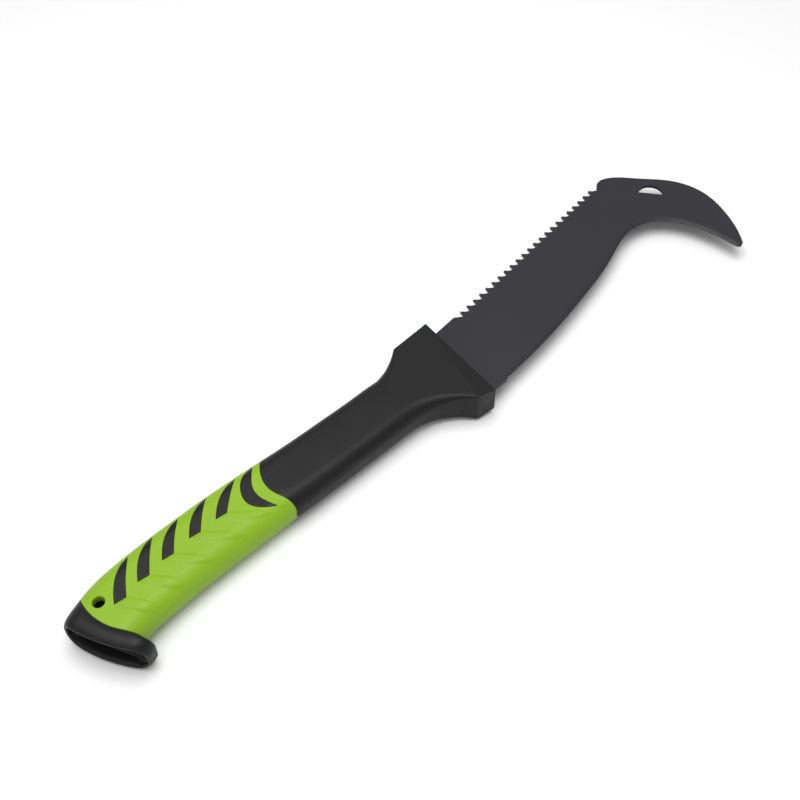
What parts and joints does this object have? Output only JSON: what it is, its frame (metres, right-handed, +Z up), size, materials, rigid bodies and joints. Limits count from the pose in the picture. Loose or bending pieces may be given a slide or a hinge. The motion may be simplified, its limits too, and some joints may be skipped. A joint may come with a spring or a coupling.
{
  "type": "pruning saw",
  "caption": "Hand pruning saw with a fixed hooked blade, saw teeth on the back, a plain cutting edge and a hollow moulded handle with a soft grip.",
  "frame": {"origin": "middle of the underside of the tool's box, with the tool lying flat on its side", "axes": "+X along the handle towards the blade's tip, +Y towards the saw teeth, +Z up through the blade's thickness"},
  "size_m": [0.4991, 0.1054, 0.0242],
  "materials": {
    "blade_steel": "satin black coating on steel",
    "handle_black": "satin moulded plastic",
    "grip_green": "satin soft plastic",
    "soft_black": "satin soft plastic"
  },
  "bodies": {
    "root": {"blade": "blade_steel", "handle_core": "handle_black", "grip_sleeve": "grip_green", "pommel_bumper": "soft_black", "stripe_1_top": "soft_black", "stripe_2_top": "soft_black", "stripe_3_top": "soft_black", "stripe_4_top": "soft_black", "stripe_5_top": "soft_black", "crescent_top": "soft_black", "stripe_1_under": "soft_black", "stripe_2_under": "soft_black", "stripe_3_under": "soft_black", "stripe_4_under": "soft_black", "stripe_5_under": "soft_black", "crescent_under": "soft_black"}
  },
  "joints": []
}
